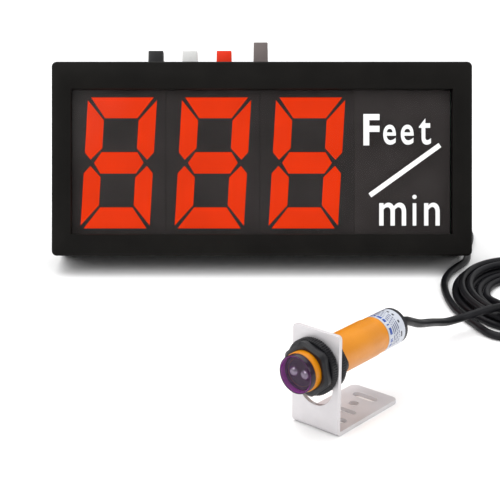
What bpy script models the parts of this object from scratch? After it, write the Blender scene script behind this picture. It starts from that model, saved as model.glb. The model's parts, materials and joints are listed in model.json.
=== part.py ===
"""Three-digit line-speed display with its photoelectric sensor on an angle bracket.

The display leans back on a folding prop. The sensor stands in front of it on a bent
steel bracket, and its lead, kept in a loose coil, runs round the display to a gland
in the rear cover. Metres, +Z up, the display faces -Y. The origin lies on the table,
under the middle of the set without its lead.
"""

import math

import bmesh
import bpy
from mathutils import Vector

GAP = 0.0003  # what touching pieces leave between them

# Display case, in the display's own frame: X right, Y into the case, Z up the panel
LEAN = math.radians(19.1)
CASE_WIDTH, CASE_HEIGHT, CASE_DEPTH = 0.2438, 0.1126, 0.0398
CASE_CORNER, CASE_EDGE = 0.003, 0.0012
WALL = 0.0025
COVER_THICK = 0.0034
REST_CUT = 0.0006  # taken off the lower rear edge, so that it rests on a flat land
SHELL_DEPTH = CASE_DEPTH - COVER_THICK - GAP
DISPLAY_PLACE = (0.0, 0.055, CASE_DEPTH * math.sin(LEAN) - REST_CUT)
OPENING_WIDTH, OPENING_LOW, OPENING_HIGH = 0.221, 0.0126, 0.0966
BOSS = 0.007
SCREW_RADIUS, SCREW_HEAD_RADIUS = 0.00145, 0.0028

# Window, digit modules and boards, by their depth behind the front face
WINDOW_SIZE = (0.226, 0.089)
WINDOW_FRONT, WINDOW_FLANGE, WINDOW_BACK = 0.001, 0.0039, 0.0059
GASKET_FRONT, GASKET_BACK, GASKET_BAND = 0.0028, 0.0036, 0.0027
DIGIT_WIDTH, DIGIT_HEIGHT, DIGIT_PITCH = 0.0399, 0.0760, 0.0550
DIGIT_ONE_X, DIGIT_CENTRE_Z = -0.0836, 0.0543
DIGIT_SLANT = math.radians(3.3)
BAR_UPRIGHT, BAR_LEVEL = 0.0096, 0.0117
HOUSING_WIDTH, HOUSING_HEIGHT = 0.0544, 0.0860
HOUSING_FRONT, HOUSING_FACE, HOUSING_BACK = 0.0064, 0.0015, 0.0174
BOARD_THICK = 0.0016
DISPLAY_BOARD_Y, MAIN_BOARD_Y = 0.0177, 0.0280

# Push buttons on the top edge
BUTTON_X = {"black": -0.0625, "white": -0.0424, "red": -0.0222}
POWER_X = -0.0006
BUTTON_Y = 0.0190
CAP_SIDE, CAP_RISE, CAP_TRAVEL = 0.0092, 0.0086, 0.0020
POWER_SIDE, POWER_RISE, POWER_TRAVEL = 0.0087, 0.0136, 0.0030
SWITCH_SIDE, SWITCH_TOP, SWITCH_BASE = 0.0120, 0.1096, 0.0992

# Rear fittings
GLAND_X, GLAND_Z = 0.0950, 0.0280
INLET_X, INLET_Z = 0.0700, 0.0300
STAND_OPEN = math.radians(39.1)
STAND_PIVOT = (0.0, CASE_DEPTH + 0.0048, 0.0840)
STAND_WIDTH, STAND_THICK, KNUCKLE_RADIUS = 0.0700, 0.0040, 0.0042
PIN_RADIUS, EAR_WIDTH = 0.0015, 0.0100

# Sensor and its bracket. The bracket's frame: X along the plate, Y along the sensor
BRACKET_PLACE, BRACKET_TURN = (0.0213, -0.1398, 0.0), math.radians(40.6)
BRACKET_WIDTH, BRACKET_LENGTH, BRACKET_HEIGHT = 0.0253, 0.0465, 0.0473
BRACKET_THICK, BEND_RADIUS = 0.0020, 0.0028
SENSOR_HEIGHT, SLOT_RADIUS, SLOT_DROP = 0.0310, 0.0095, 0.0095
BARREL_RADIUS, REAR_RADIUS, LABEL_SEAT, BORE_RADIUS = 0.0090, 0.0087, 0.0081, 0.0073
BARREL_FRONT, THREAD_END, LABEL_START, BARREL_END = -0.0106, 0.0380, 0.0433, 0.0560
LENS_FRONT, LENS_RADIUS = -0.0140, 0.0087
NUT_ACROSS, NUT_COLLAR, COLLAR_LENGTH = 0.0225, 0.0130, 0.0036
FRONT_NUT_LENGTH, REAR_NUT_LENGTH = 0.0072, 0.0065
RELIEF_START, RELIEF_END = 0.0588, 0.0655

# The lead, in the world's frame
LEAD_RADIUS = 0.0021
LEAD_ROUTE = [
    (0.0644, -0.0896, 0.0309),
    (0.0668, -0.0866, 0.0298),
    (0.0702, -0.0814, 0.0270),
    (0.0750, -0.0735, 0.0230),
    (0.0833, -0.0576, 0.0170),
    (0.0925, -0.0428, 0.0112),
    (0.1005, -0.0335, 0.0092),
    (0.1070, -0.0300, 0.0098),
    (0.1125, -0.0282, 0.0110),
    (0.1180, -0.0260, 0.0116),
    (0.1240, -0.0232, 0.0116),
    (0.1320, -0.0202, 0.0115),
    (0.1400, -0.0180, 0.0114),
]
TAIL_ROUTE = [
    (0.0950, 0.1098, 0.0231),
    (0.0950, 0.1190, 0.0197),
    (0.0953, 0.1300, 0.0145),
    (0.0970, 0.1410, 0.0093),
    (0.1015, 0.1505, 0.0053),
    (0.1090, 0.1560, 0.0031),
    (0.1180, 0.1565, 0.0022),
    (0.1260, 0.1510, 0.0021),
    (0.1310, 0.1415, 0.0021),
    (0.1325, 0.1290, 0.0021),
    (0.1310, 0.1160, 0.0021),
    (0.1280, 0.1040, 0.0021),
    (0.1254, 0.0930, 0.0021),
    (0.1242, 0.0840, 0.0021),
    (0.1220, 0.0760, 0.0021),
    (0.1180, 0.0690, 0.0021),
    (0.1125, 0.0610, 0.0021),
    (0.1075, 0.0510, 0.0021),
    (0.1039, 0.0390, 0.0021),
    (0.1024, 0.0260, 0.0021),
    (0.1024, 0.0120, 0.0021),
    (0.1036, 0.0000, 0.0021),
    (0.1058, -0.0090, 0.0021),
    (0.1084, -0.0167, 0.0021),
    (0.1110, -0.0230, 0.0021),
    (0.1132, -0.0295, 0.0021),
    (0.1160, -0.0355, 0.0021),
    (0.1200, -0.0396, 0.0021),
    (0.1260, -0.0415, 0.0021),
    (0.1320, -0.0425, 0.0021),
]
COIL_CENTRE = (0.1505, 0.0150)
COIL_OUTER, COIL_INNER, COIL_HEIGHT = (0.0450, 0.0585), (0.0250, 0.0300), 0.0090

LOOKS = {}


def look(name, colour, roughness, metallic=0.0):
    """A Principled material, made once for each name."""
    if name not in LOOKS:
        made = bpy.data.materials.new(name)
        made.use_nodes = True
        shader = made.node_tree.nodes["Principled BSDF"]
        shader.inputs["Base Color"].default_value = (*colour, 1.0)
        shader.inputs["Roughness"].default_value = roughness
        shader.inputs["Metallic"].default_value = metallic
        LOOKS[name] = made
    return LOOKS[name]


def case_black():
    return look("case_black", (0.018, 0.016, 0.014), 0.45)


def board_green():
    return look("board_green", (0.02, 0.16, 0.07), 0.5)


def inner_black():
    return look("inner_black", (0.03, 0.03, 0.032), 0.6)


def bright_steel():
    return look("bright_steel", (0.62, 0.60, 0.58), 0.35, 1.0)


def nut_black():
    return look("nut_black", (0.02, 0.02, 0.023), 0.4)


def lead_black():
    return look("lead_black", (0.012, 0.012, 0.014), 0.45)


# Shapes


def clear_scene():
    for item in list(bpy.data.objects):
        bpy.data.objects.remove(item)


def frame(name, place, turn=(0.0, 0.0, 0.0), parent=None):
    """An empty that carries the pieces of one assembly."""
    empty = bpy.data.objects.new(name, None)
    empty.location = place
    empty.rotation_euler = turn
    empty.parent = parent
    bpy.context.scene.collection.objects.link(empty)
    return empty


def piece(name, shape, finish, parent=None, place=(0.0, 0.0, 0.0)):
    """An object made from a bmesh, shaded smooth with sharp corners."""
    mesh = bpy.data.meshes.new(name)
    shape.to_mesh(mesh)
    shape.free()
    mesh.shade_smooth()
    mesh.set_sharp_from_angle(angle=math.radians(35))
    mesh.materials.append(finish)
    made = bpy.data.objects.new(name, mesh)
    made.location = place
    made.parent = parent
    bpy.context.scene.collection.objects.link(made)
    return made


def change(target, operation, shape, parent=None, place=(0.0, 0.0, 0.0)):
    """Cuts a shape out of a piece, or joins it on, with a hidden helper in a frame."""
    helper = piece(f"{target.name}_{operation.lower()}", shape, case_black(), parent, place)
    helper.hide_render = True
    helper.display_type = "WIRE"
    step = target.modifiers.new(helper.name, "BOOLEAN")
    step.operation = operation
    step.solver = "EXACT"
    step.object = helper
    return target


def cut(target, shape, parent=None, place=(0.0, 0.0, 0.0)):
    return change(target, "DIFFERENCE", shape, parent, place)


def join(target, shape, parent=None, place=(0.0, 0.0, 0.0)):
    return change(target, "UNION", shape, parent, place)


def along_axis(u, v, station, axis):
    return {"X": (station, u, v), "Y": (u, station, v), "Z": (u, v, station)}[axis]


def block(low, high):
    shape = bmesh.new()
    bmesh.ops.create_cube(shape, size=1.0)
    for vertex in shape.verts:
        vertex.co = Vector([a if c < 0 else b for a, b, c in zip(low, high, vertex.co)])
    return shape


def gathered(shapes):
    """Several separate shapes as one."""
    whole = bmesh.new()
    for shape in shapes:
        mesh = bpy.data.meshes.new("part_of_whole")
        shape.to_mesh(mesh)
        shape.free()
        whole.from_mesh(mesh)
        bpy.data.meshes.remove(mesh)
    return whole


def prism(outline, start, end, axis):
    """An outline pushed along an axis from one station to another."""
    shape = bmesh.new()
    face = shape.faces.new([shape.verts.new(along_axis(u, v, start, axis)) for u, v in outline])
    pushed = bmesh.ops.extrude_face_region(shape, geom=[face])["geom"]
    moved = [item for item in pushed if isinstance(item, bmesh.types.BMVert)]
    bmesh.ops.translate(shape, vec=Vector(along_axis(0.0, 0.0, end - start, axis)), verts=moved)
    bmesh.ops.recalc_face_normals(shape, faces=shape.faces)
    return shape


def turned(profile, axis="Y", steps=40):
    """A profile of (radius, station) points spun about an axis. It closes on itself unless it
    starts and ends on the axis."""
    shape = bmesh.new()
    points = [shape.verts.new(along_axis(radius, 0.0, station, axis)) for radius, station in profile]
    pairs = list(zip(points, points[1:]))
    if profile[0][0] > 0.0:
        pairs.append((points[-1], points[0]))
    edges = [shape.edges.new(pair) for pair in pairs]
    direction = Vector(along_axis(0.0, 0.0, 1.0, axis))
    bmesh.ops.spin(shape, geom=points + edges, cent=(0, 0, 0), axis=direction,
                   angle=2 * math.pi, steps=steps, use_merge=True)
    bmesh.ops.remove_doubles(shape, verts=shape.verts, dist=1e-7)
    bmesh.ops.recalc_face_normals(shape, faces=shape.faces)
    return shape


def rod(radius, start, end, axis="Y", steps=24):
    return turned([(0.0, start), (radius, start), (radius, end), (0.0, end)], axis, steps)


def arc(centre, radius, start, end, steps):
    """Points on an arc, angles in degrees."""
    angles = [math.radians(start + (end - start) * i / steps) for i in range(steps + 1)]
    return [(centre[0] + radius * math.cos(a), centre[1] + radius * math.sin(a)) for a in angles]


def rounded(width, height, radius, centre=(0.0, 0.0), steps=4):
    """A rectangle with round corners."""
    across, up = width / 2 - radius, height / 2 - radius
    corners = [(1, 1, 0), (-1, 1, 90), (-1, -1, 180), (1, -1, 270)]
    outline = []
    for side, level, start in corners:
        middle = (centre[0] + side * across, centre[1] + level * up)
        outline += arc(middle, radius, start, start + 90, steps)
    return outline


def hexagon(across_flats):
    corner = across_flats / math.sqrt(3)
    return arc((0.0, 0.0), corner, 0, 300, 5)


def grown(outline, by):
    """A convex outline moved outwards by a distance, all the way round."""
    count = len(outline)
    area = sum(outline[i - 1][0] * outline[i][1] - outline[i][0] * outline[i - 1][1]
               for i in range(count))
    side = 1.0 if area > 0 else -1.0
    moved = []
    for i in range(count):
        before = Vector(outline[i]) - Vector(outline[i - 1])
        after = Vector(outline[(i + 1) % count]) - Vector(outline[i])
        first = Vector((before.y, -before.x)).normalized() * side
        second = Vector((after.y, -after.x)).normalized() * side
        moved.append(Vector(outline[i]) + (first + second) * by / (1.0 + first.dot(second)))
    return [tuple(point) for point in moved]


def bevel_edges(shape, wanted, width, steps):
    """Bevels the edges whose two ends satisfy a test."""
    edges = [e for e in shape.edges if wanted(e.verts[0].co, e.verts[1].co)]
    bmesh.ops.bevel(shape, geom=edges, offset=width, segments=steps, affect="EDGES", profile=0.5)
    bmesh.ops.recalc_face_normals(shape, faces=shape.faces)
    return shape


# Display case


def case_corners():
    """Where the four cover screws go, as (x, z) in the display's frame."""
    across = CASE_WIDTH / 2 - WALL - BOSS / 2
    rise = WALL + BOSS / 2
    return [(side * across, level) for side in (-1, 1) for level in (rise, CASE_HEIGHT - rise)]


def front_case(display):
    outline = rounded(CASE_WIDTH, CASE_HEIGHT, CASE_CORNER, (0.0, CASE_HEIGHT / 2))
    shell = prism(outline, 0.0, SHELL_DEPTH, "Y")
    bevel_edges(shell, lambda a, b: abs(a.y) < 1e-6 and abs(b.y) < 1e-6, CASE_EDGE, 2)
    case = piece("front_case", shell, case_black(), display)
    half = CASE_WIDTH / 2 - WALL
    cut(case, block((-half, WALL, WALL), (half, CASE_DEPTH, CASE_HEIGHT - WALL)), display)
    posts = []
    for x, z in case_corners():
        inner = (x - math.copysign(BOSS / 2, x), z - math.copysign(BOSS / 2, z - CASE_HEIGHT / 2))
        outer = (x + math.copysign(0.0040, x), z + math.copysign(0.0040, z - CASE_HEIGHT / 2))
        (left, right), (low, high) = (sorted(pair) for pair in zip(inner, outer))
        posts.append(block((left, WALL - 0.0005, low), (right, 0.0310, high)))
    join(case, gathered(posts), display)
    half = OPENING_WIDTH / 2
    cut(case, block((-half, -0.001, OPENING_LOW), (half, WALL + 0.001, OPENING_HIGH)), display)
    holes = [block((x - 0.0051, BUTTON_Y - 0.0051, CASE_HEIGHT - WALL - 0.001),
                   (x + 0.0051, BUTTON_Y + 0.0051, CASE_HEIGHT + 0.001))
             for x in [*BUTTON_X.values(), POWER_X]]
    for x, z in case_corners():
        pilot = rod(0.0018, 0.0140, 0.0320, steps=16)
        bmesh.ops.translate(pilot, vec=(x, 0.0, z), verts=pilot.verts)
        holes.append(pilot)
    cut(case, gathered(holes), display)


def cover_lip():
    """The rim inside the case wall that centres the cover, as two blocks, outer and inner."""
    outer_x, outer_z = CASE_WIDTH / 2 - WALL - 0.0004, CASE_HEIGHT / 2 - WALL - 0.0004
    wall, start, end = 0.0018, SHELL_DEPTH - 0.0030, SHELL_DEPTH + GAP + 0.0006
    middle = CASE_HEIGHT / 2
    outer = block((-outer_x, start, middle - outer_z), (outer_x, end, middle + outer_z))
    inner = block((wall - outer_x, start - 0.001, middle + wall - outer_z),
                  (outer_x - wall, end - 0.0006, middle + outer_z - wall))
    return outer, inner


def rear_cover(display):
    outline = rounded(CASE_WIDTH, CASE_HEIGHT, CASE_CORNER, (0.0, CASE_HEIGHT / 2))
    plate = prism(outline, SHELL_DEPTH + GAP, CASE_DEPTH, "Y")
    bevel_edges(plate, lambda a, b: abs(a.y - CASE_DEPTH) < 1e-6 and abs(b.y - CASE_DEPTH) < 1e-6,
                0.0008, 1)
    cover = piece("rear_cover", plate, case_black(), display)
    outer, inner = cover_lip()
    join(cover, outer, display)
    cut(cover, inner, display)
    ears = []
    for side in (-1, 1):
        middle = side * (STAND_WIDTH / 2 + 0.0004 + EAR_WIDTH / 2)
        ears.append(block((middle - EAR_WIDTH / 2, CASE_DEPTH - 0.001, STAND_PIVOT[2] - 0.0048),
                          (middle + EAR_WIDTH / 2, STAND_PIVOT[1] + 0.0042, STAND_PIVOT[2] + 0.0048)))
    join(cover, gathered(ears), display)
    reach = STAND_WIDTH / 2 + EAR_WIDTH + 0.002
    pin_hole = rod(PIN_RADIUS + GAP, -reach, reach, "X", 16)
    cut(cover, pin_hole, display, (0.0, STAND_PIVOT[1], STAND_PIVOT[2]))
    holes = []
    for x, z in case_corners():
        hole = rod(SCREW_RADIUS + 0.0004, SHELL_DEPTH - 0.004, CASE_DEPTH + 0.001, steps=16)
        bmesh.ops.translate(hole, vec=(x, 0.0, z), verts=hole.verts)
        holes.append(hole)
    for radius, x, z in ((0.0061, GLAND_X, GLAND_Z), (0.0044, INLET_X, INLET_Z)):
        hole = rod(radius, SHELL_DEPTH - 0.001, CASE_DEPTH + 0.001, steps=24)
        bmesh.ops.translate(hole, vec=(x, 0.0, z), verts=hole.verts)
        holes.append(hole)
    for row in range(7):
        low = 0.0380 + 0.0055 * row
        holes.append(block((-0.098, SHELL_DEPTH - 0.001, low), (-0.068, CASE_DEPTH + 0.001, low + 0.002)))
    cut(cover, gathered(holes), display)
    cut(cover, block((-0.2, 0.0, -0.02), (0.2, 0.2, 0.0)))


def cover_screws(display):
    head, top = CASE_DEPTH + GAP, CASE_DEPTH + 0.0024
    profile = [(0.0, 0.0180), (SCREW_RADIUS, 0.0180), (SCREW_RADIUS, head),
               (SCREW_HEAD_RADIUS, head), (SCREW_HEAD_RADIUS, top - 0.0009),
               (SCREW_HEAD_RADIUS - 0.0009, top), (0.0, top)]
    steel = look("screw_steel", (0.10, 0.10, 0.11), 0.4, 1.0)
    for number, (x, z) in enumerate(case_corners(), 1):
        piece(f"cover_screw_{number}", turned(profile, steps=16), steel, display, (x, 0.0, z))


# Window, digits and boards


def window(display):
    middle = (OPENING_LOW + OPENING_HIGH) / 2
    across, up = WINDOW_SIZE[0] / 2, WINDOW_SIZE[1] / 2
    flange = block((-across, WINDOW_FLANGE, middle - up), (across, WINDOW_BACK, middle + up))
    glass = piece("window", flange, look("smoked_window", (0.05, 0.045, 0.043), 0.12), display)
    across = OPENING_WIDTH / 2 - 0.0004
    join(glass, block((-across, WINDOW_FRONT, OPENING_LOW + 0.0004),
                      (across, WINDOW_FLANGE + 0.0005, OPENING_HIGH - 0.0004)), display)


def window_gasket(display):
    across, low, high = OPENING_WIDTH / 2, OPENING_LOW, OPENING_HIGH
    band = GASKET_BAND
    ring = block((-across - band, GASKET_FRONT, low - band), (across + band, GASKET_BACK, high + band))
    foam = piece("window_gasket", ring, look("gasket_foam", (0.02, 0.02, 0.02), 0.9), display)
    cut(foam, block((-across, 0.002, low), (across, 0.005, high)), display)


def bar_outlines():
    """The seven bars of a digit about its centre, upright: mitred ends with gaps between them."""
    side, top = DIGIT_WIDTH / 2, DIGIT_HEIGHT / 2
    inner, level = side - BAR_UPRIGHT, top - BAR_LEVEL
    mitre, notch = 0.0021, 0.0010
    roof = [(mitre - side, top), (side - mitre, top), (inner - notch, level), (notch - inner, level)]
    post = [(-side, top - mitre), (-inner, level - 0.0016), (-inner, 0.0086), (-0.0165, 0.0022),
            (-side, 0.0062)]
    waist = [(-0.0142, 0.0), (-inner, 0.0060), (inner, 0.0060), (0.0142, 0.0),
             (inner, -0.0060), (-inner, -0.0060)]
    upright = [[(sx * x, sz * z) for x, z in post] for sx in (1, -1) for sz in (1, -1)]
    return [roof, [(x, -z) for x, z in roof], waist, *upright]


def slanted_bars(spread=0.0):
    lean = math.tan(DIGIT_SLANT)
    return [grown([(x + z * lean, z) for x, z in bar], spread) for bar in bar_outlines()]


def digit(number, display):
    """One digit module: a black housing with seven openings, and the glowing bars behind them."""
    x = DIGIT_ONE_X + DIGIT_PITCH * (number - 1)
    across, up = HOUSING_WIDTH / 2, HOUSING_HEIGHT / 2
    place = (x, 0.0, DIGIT_CENTRE_Z)
    housing = piece(f"digit_housing_{number}",
                    block((-across, HOUSING_FRONT, -up), (across, HOUSING_BACK, up)),
                    look("module_grey", (0.04, 0.036, 0.035), 0.6), display, place)
    back = HOUSING_FRONT + HOUSING_FACE
    hollow = (across - 0.0015, HOUSING_BACK + 0.001, up - 0.0015)
    tools = [block((-hollow[0], back, -hollow[2]), hollow)]
    cut(housing, gathered(tools), display, place)
    openings = [prism(bar, HOUSING_FRONT - 0.001, back + 0.001, "Y") for bar in slanted_bars(GAP)]
    cut(housing, gathered(openings), display, place)
    web = block((0.002 - across, back + GAP, 0.002 - up), (across - 0.002, back + GAP + 0.0012, up - 0.002))
    bars = piece(f"digit_diffuser_{number}", web,
                 look("lit_bars", (0.90, 0.10, 0.01), 0.4), display, place)
    raised = [prism(bar, HOUSING_FRONT + 0.0001, back + GAP + 0.0005, "Y") for bar in slanted_bars()]
    join(bars, gathered(raised), display, place)


def display_board(display):
    board = piece("display_board",
                  block((-0.112, DISPLAY_BOARD_Y, 0.011), (0.112, DISPLAY_BOARD_Y + BOARD_THICK, 0.097)),
                  board_green(), display)
    back = DISPLAY_BOARD_Y + BOARD_THICK
    chips = [block((x - 0.0055, back - 0.0004, 0.052), (x + 0.0055, back + 0.0020, 0.060))
             for x in (-0.090, 0.066, 0.090)]
    join(board, gathered(chips), display)


def main_board(display):
    """The controller board, its parts facing the digits."""
    board = piece("main_board",
                  block((-0.088, MAIN_BOARD_Y, 0.016), (0.044, MAIN_BOARD_Y + BOARD_THICK, 0.092)),
                  board_green(), display)
    tall = MAIN_BOARD_Y - 0.0065
    parts = [
        block((-0.040, tall, 0.030), (-0.024, MAIN_BOARD_Y + 0.0004, 0.046)),
        block((-0.010, tall + 0.003, 0.048), (0.006, MAIN_BOARD_Y + 0.0004, 0.064)),
        block((0.018, tall, 0.022), (0.034, MAIN_BOARD_Y + 0.0004, 0.032)),
        block((-0.074, tall, 0.070), (-0.050, MAIN_BOARD_Y + 0.0004, 0.080)),
    ]
    can = rod(0.0040, tall, MAIN_BOARD_Y + 0.0004, steps=20)
    bmesh.ops.translate(can, vec=(-0.062, 0.0, 0.038), verts=can.verts)
    join(board, gathered([*parts, can]), display)


def standoffs(display):
    brass = look("brass", (0.55, 0.40, 0.15), 0.35, 1.0)
    start = DISPLAY_BOARD_Y + BOARD_THICK + GAP
    places = [(x, z) for x in (-0.083, 0.039) for z in (0.021, 0.087)]
    for number, (x, z) in enumerate(places, 1):
        piece(f"standoff_{number}", prism(hexagon(0.005), start, MAIN_BOARD_Y - GAP, "Y"),
              brass, display, (x, 0.0, z))


# Push buttons


def push_switch(name, x, display):
    """A switch body under the top wall, with a well for its button's stem."""
    half = SWITCH_SIDE / 2
    low, high = SWITCH_BASE - CASE_HEIGHT, SWITCH_TOP - CASE_HEIGHT
    body = piece(name, block((-half, -half, low), (half, half, high)),
                 inner_black(), display, (x, BUTTON_Y, CASE_HEIGHT))
    well = block((-0.0026, -0.0026, 0.1008 - CASE_HEIGHT), (0.0026, 0.0026, 0.0))
    cut(body, well, display, (x, BUTTON_Y, CASE_HEIGHT))


def push_button(name, x, side, rise, travel, finish, display):
    """A square cap with a stem, which slides along the panel's own upright."""
    low = SWITCH_TOP - CASE_HEIGHT + travel + GAP
    cap = block((-side / 2, -side / 2, low), (side / 2, side / 2, rise))
    bevel_edges(cap, lambda a, b: max(a.z, b.z) > rise - 1e-6, 0.0007, 2)
    button = piece(name, cap, finish, display, (x, BUTTON_Y, CASE_HEIGHT))
    bottom = 0.1012 - CASE_HEIGHT + travel
    join(button, block((-0.0021, -0.0021, bottom), (0.0021, 0.0021, low + 0.0005)),
         display, (x, BUTTON_Y, CASE_HEIGHT))


def buttons(display):
    colours = {"black": (0.015, 0.015, 0.016), "white": (0.85, 0.85, 0.84), "red": (0.75, 0.06, 0.02)}
    for colour, x in BUTTON_X.items():
        finish = look(f"button_{colour}", colours[colour], 0.35)
        push_switch(f"switch_body_{colour}", x, display)
        push_button(f"button_{colour}", x, CAP_SIDE, CAP_RISE, CAP_TRAVEL, finish, display)
    push_switch("switch_body_power", POWER_X, display)
    grey = look("button_grey", (0.16, 0.13, 0.125), 0.4)
    push_button("button_power", POWER_X, POWER_SIDE, POWER_RISE, POWER_TRAVEL, grey, display)
    board = block((-0.0720, BUTTON_Y - 0.0055, SWITCH_BASE - GAP - 0.0013),
                  (0.0090, BUTTON_Y + 0.0055, SWITCH_BASE - GAP))
    piece("button_board", board, board_green(), display)


# Rear fittings


def dc_inlet(display):
    back, start = CASE_DEPTH + GAP, 0.0290
    profile = [(0.0, start), (0.0040, start), (0.0040, back), (0.0056, back), (0.0056, back + 0.0016),
               (0.0029, back + 0.0016), (0.0029, start + 0.003), (0.0010, start + 0.003),
               (0.0010, back), (0.0, back)]
    piece("dc_inlet", turned(profile, steps=32), inner_black(), display, (INLET_X, 0.0, INLET_Z))


def cable_gland(display):
    """Body with a hexagon outside the cover, lock nut inside it, and a domed cap on the lead."""
    place, back = (GLAND_X, 0.0, GLAND_Z), CASE_DEPTH + GAP
    profile = [(0.0026, 0.0270), (0.0057, 0.0270), (0.0057, back + 0.001), (0.0046, back + 0.001),
               (0.0046, back + 0.0070), (0.0026, back + 0.0070)]
    body = piece("gland_body", turned(profile, steps=32), nut_black(), display, place)
    join(body, prism(hexagon(0.0160), back, back + 0.0032, "Y"), display, place)
    cut(body, rod(0.0026, 0.0260, back + 0.008, steps=32), display, place)
    nut = piece("gland_locknut", prism(hexagon(0.0160), 0.0320, SHELL_DEPTH, "Y"),
                nut_black(), display, place)
    cut(nut, rod(0.0060, 0.0310, SHELL_DEPTH + 0.001, steps=32), display, place)
    low = back + 0.0035
    profile = [(0.0049, low), (0.0070, low), (0.0070, low + 0.0050), (0.0062, low + 0.0070),
               (0.0045, low + 0.0084), (0.0026, low + 0.0084), (0.0026, low + 0.0039),
               (0.0049, low + 0.0039)]
    piece("gland_cap", turned(profile, steps=32), nut_black(), display, place)


def prop_stand(display):
    """A folding leg on a pin between the cover's ears, with a rubber tip. Its frame turns on the
    pin, so the leg hangs straight down in it, and the frame is swung open."""
    reach = STAND_WIDTH / 2 + 0.0004 + EAR_WIDTH
    piece("stand_pin", rod(PIN_RADIUS, -reach, reach, "X", 16), bright_steel(), display, STAND_PIVOT)
    hinge = frame("stand_frame", STAND_PIVOT, (STAND_OPEN, 0.0, 0.0), display)
    half, thick = STAND_WIDTH / 2, STAND_THICK / 2
    pivot_height = (DISPLAY_PLACE[2] - STAND_PIVOT[1] * math.sin(LEAN)
                    + STAND_PIVOT[2] * math.cos(LEAN))
    slope = STAND_OPEN - LEAN
    tip = pivot_height / math.cos(slope)
    leg = block((-half, -thick, 0.0060 - tip), (half, thick, -0.0020))
    bevel_edges(leg, lambda a, b: a.z < -0.01 and b.z < -0.01 and a.x * b.x > 0 and abs(a.y - b.y) > 1e-4,
                0.0060, 3)
    plate = piece("stand_leg", leg, case_black(), hinge)
    join(plate, rod(KNUCKLE_RADIUS, -half, half, "X", 24), hinge)
    cut(plate, rod(PIN_RADIUS + GAP, -half - 0.001, half + 0.001, "X", 16), hinge)
    wide, top = 0.0032, 0.0060 - tip - GAP
    floor = [-tip - side * wide * math.tan(slope) for side in (-1, 1)]
    sole = [(-wide, top), (-wide, floor[0]), (wide, floor[1]), (wide, top)]
    rubber = look("rubber", (0.02, 0.02, 0.02), 0.9)
    piece("stand_foot", prism(sole, 0.0060 - half, half - 0.0060, "X"), rubber, hinge)


# Sensor and bracket


def obround(length, width, centre=(0.0, 0.0), steps=8):
    """A slot with round ends, its length along the first direction."""
    reach = (length - width) / 2
    right = arc((centre[0] + reach, centre[1]), width / 2, -90, 90, steps)
    left = arc((centre[0] - reach, centre[1]), width / 2, 90, 270, steps)
    return right + left


def sensor_bracket(holder):
    thick, radius = BRACKET_THICK, BEND_RADIUS
    bend = arc((radius, radius), radius, 180, 270, 4)
    crease = arc((radius, radius), radius - thick, 270, 180, 4)
    outline = [(thick, BRACKET_HEIGHT), (0.0, BRACKET_HEIGHT), *bend,
               (BRACKET_LENGTH, 0.0), (BRACKET_LENGTH, thick), *crease]
    half = BRACKET_WIDTH / 2
    angle = prism(outline, -half, half, "X")
    bevel_edges(angle, lambda a, b: abs(a.x - b.x) < 1e-6 and min(a.z, b.z) > BRACKET_HEIGHT - 1e-5,
                0.0018, 3)
    bevel_edges(angle, lambda a, b: abs(a.x - b.x) < 1e-6 and min(a.y, b.y) > BRACKET_LENGTH - 1e-5
                and abs(a.z - b.z) > 1e-4, 0.0030, 3)
    bracket = piece("sensor_bracket", angle, bright_steel(), holder)
    top, low = SENSOR_HEIGHT, SENSOR_HEIGHT - SLOT_DROP
    slot = arc((0.0, top), SLOT_RADIUS, 0, 180, 16) + arc((0.0, low), SLOT_RADIUS, 180, 360, 16)
    cut(bracket, prism(slot, -0.001, thick + 0.001, "Y"), holder)
    openings = [
        obround(0.0175, 0.0044, (0.0, 0.0115)),
        obround(0.0141, 0.0036, (0.0, 0.0210)),
        arc((0.0, 0.0293), 0.0023, 0, 345, 23),
        obround(0.0128, 0.0046, (0.0, 0.0380)),
    ]
    holes = [prism(opening, -0.001, thick + 0.001, "Z") for opening in openings]
    cut(bracket, gathered(holes), holder)


def clamp_nut(name, face, length, sensor):
    """A plastic nut: a ribbed collar against the plate and a hexagon beyond it. A negative
    length makes the one in front of the plate."""
    direction = math.copysign(1.0, length)
    collar_end, end = face + direction * COLLAR_LENGTH, face + length
    rim = 0.0005 * direction
    profile = [(0.0093, face), (NUT_COLLAR - 0.0004, face), (NUT_COLLAR, face + rim),
               (NUT_COLLAR, collar_end - rim), (NUT_COLLAR - 0.0008, collar_end),
               (0.0093, collar_end)]
    nut = piece(name, turned(profile, steps=48), nut_black(), sensor)
    join(nut, prism(hexagon(NUT_ACROSS), face + rim, end, "Y"), sensor)
    reach = sorted((face - rim * 4, end + rim * 4))
    cut(nut, rod(0.0093, reach[0], reach[1], steps=48), sensor)


def barrel(sensor):
    orange = look("barrel_orange", (0.80, 0.33, 0.02), 0.35)
    edge = 0.0006
    profile = [
        (BORE_RADIUS, BARREL_FRONT), (BARREL_RADIUS - edge, BARREL_FRONT),
        (BARREL_RADIUS, BARREL_FRONT + edge), (BARREL_RADIUS, THREAD_END),
        (REAR_RADIUS, THREAD_END + edge), (REAR_RADIUS, LABEL_START - GAP),
        (LABEL_SEAT, LABEL_START - GAP), (LABEL_SEAT, BARREL_END), (BORE_RADIUS, BARREL_END),
    ]
    piece("sensor_barrel", turned(profile, steps=48), orange, sensor)
    seat = LABEL_SEAT + GAP
    ring = [(seat, LABEL_START), (REAR_RADIUS, LABEL_START), (REAR_RADIUS, BARREL_END),
            (seat, BARREL_END)]
    piece("label_sleeve", turned(ring, steps=48), look("label_white", (0.72, 0.75, 0.80), 0.4), sensor)


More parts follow.
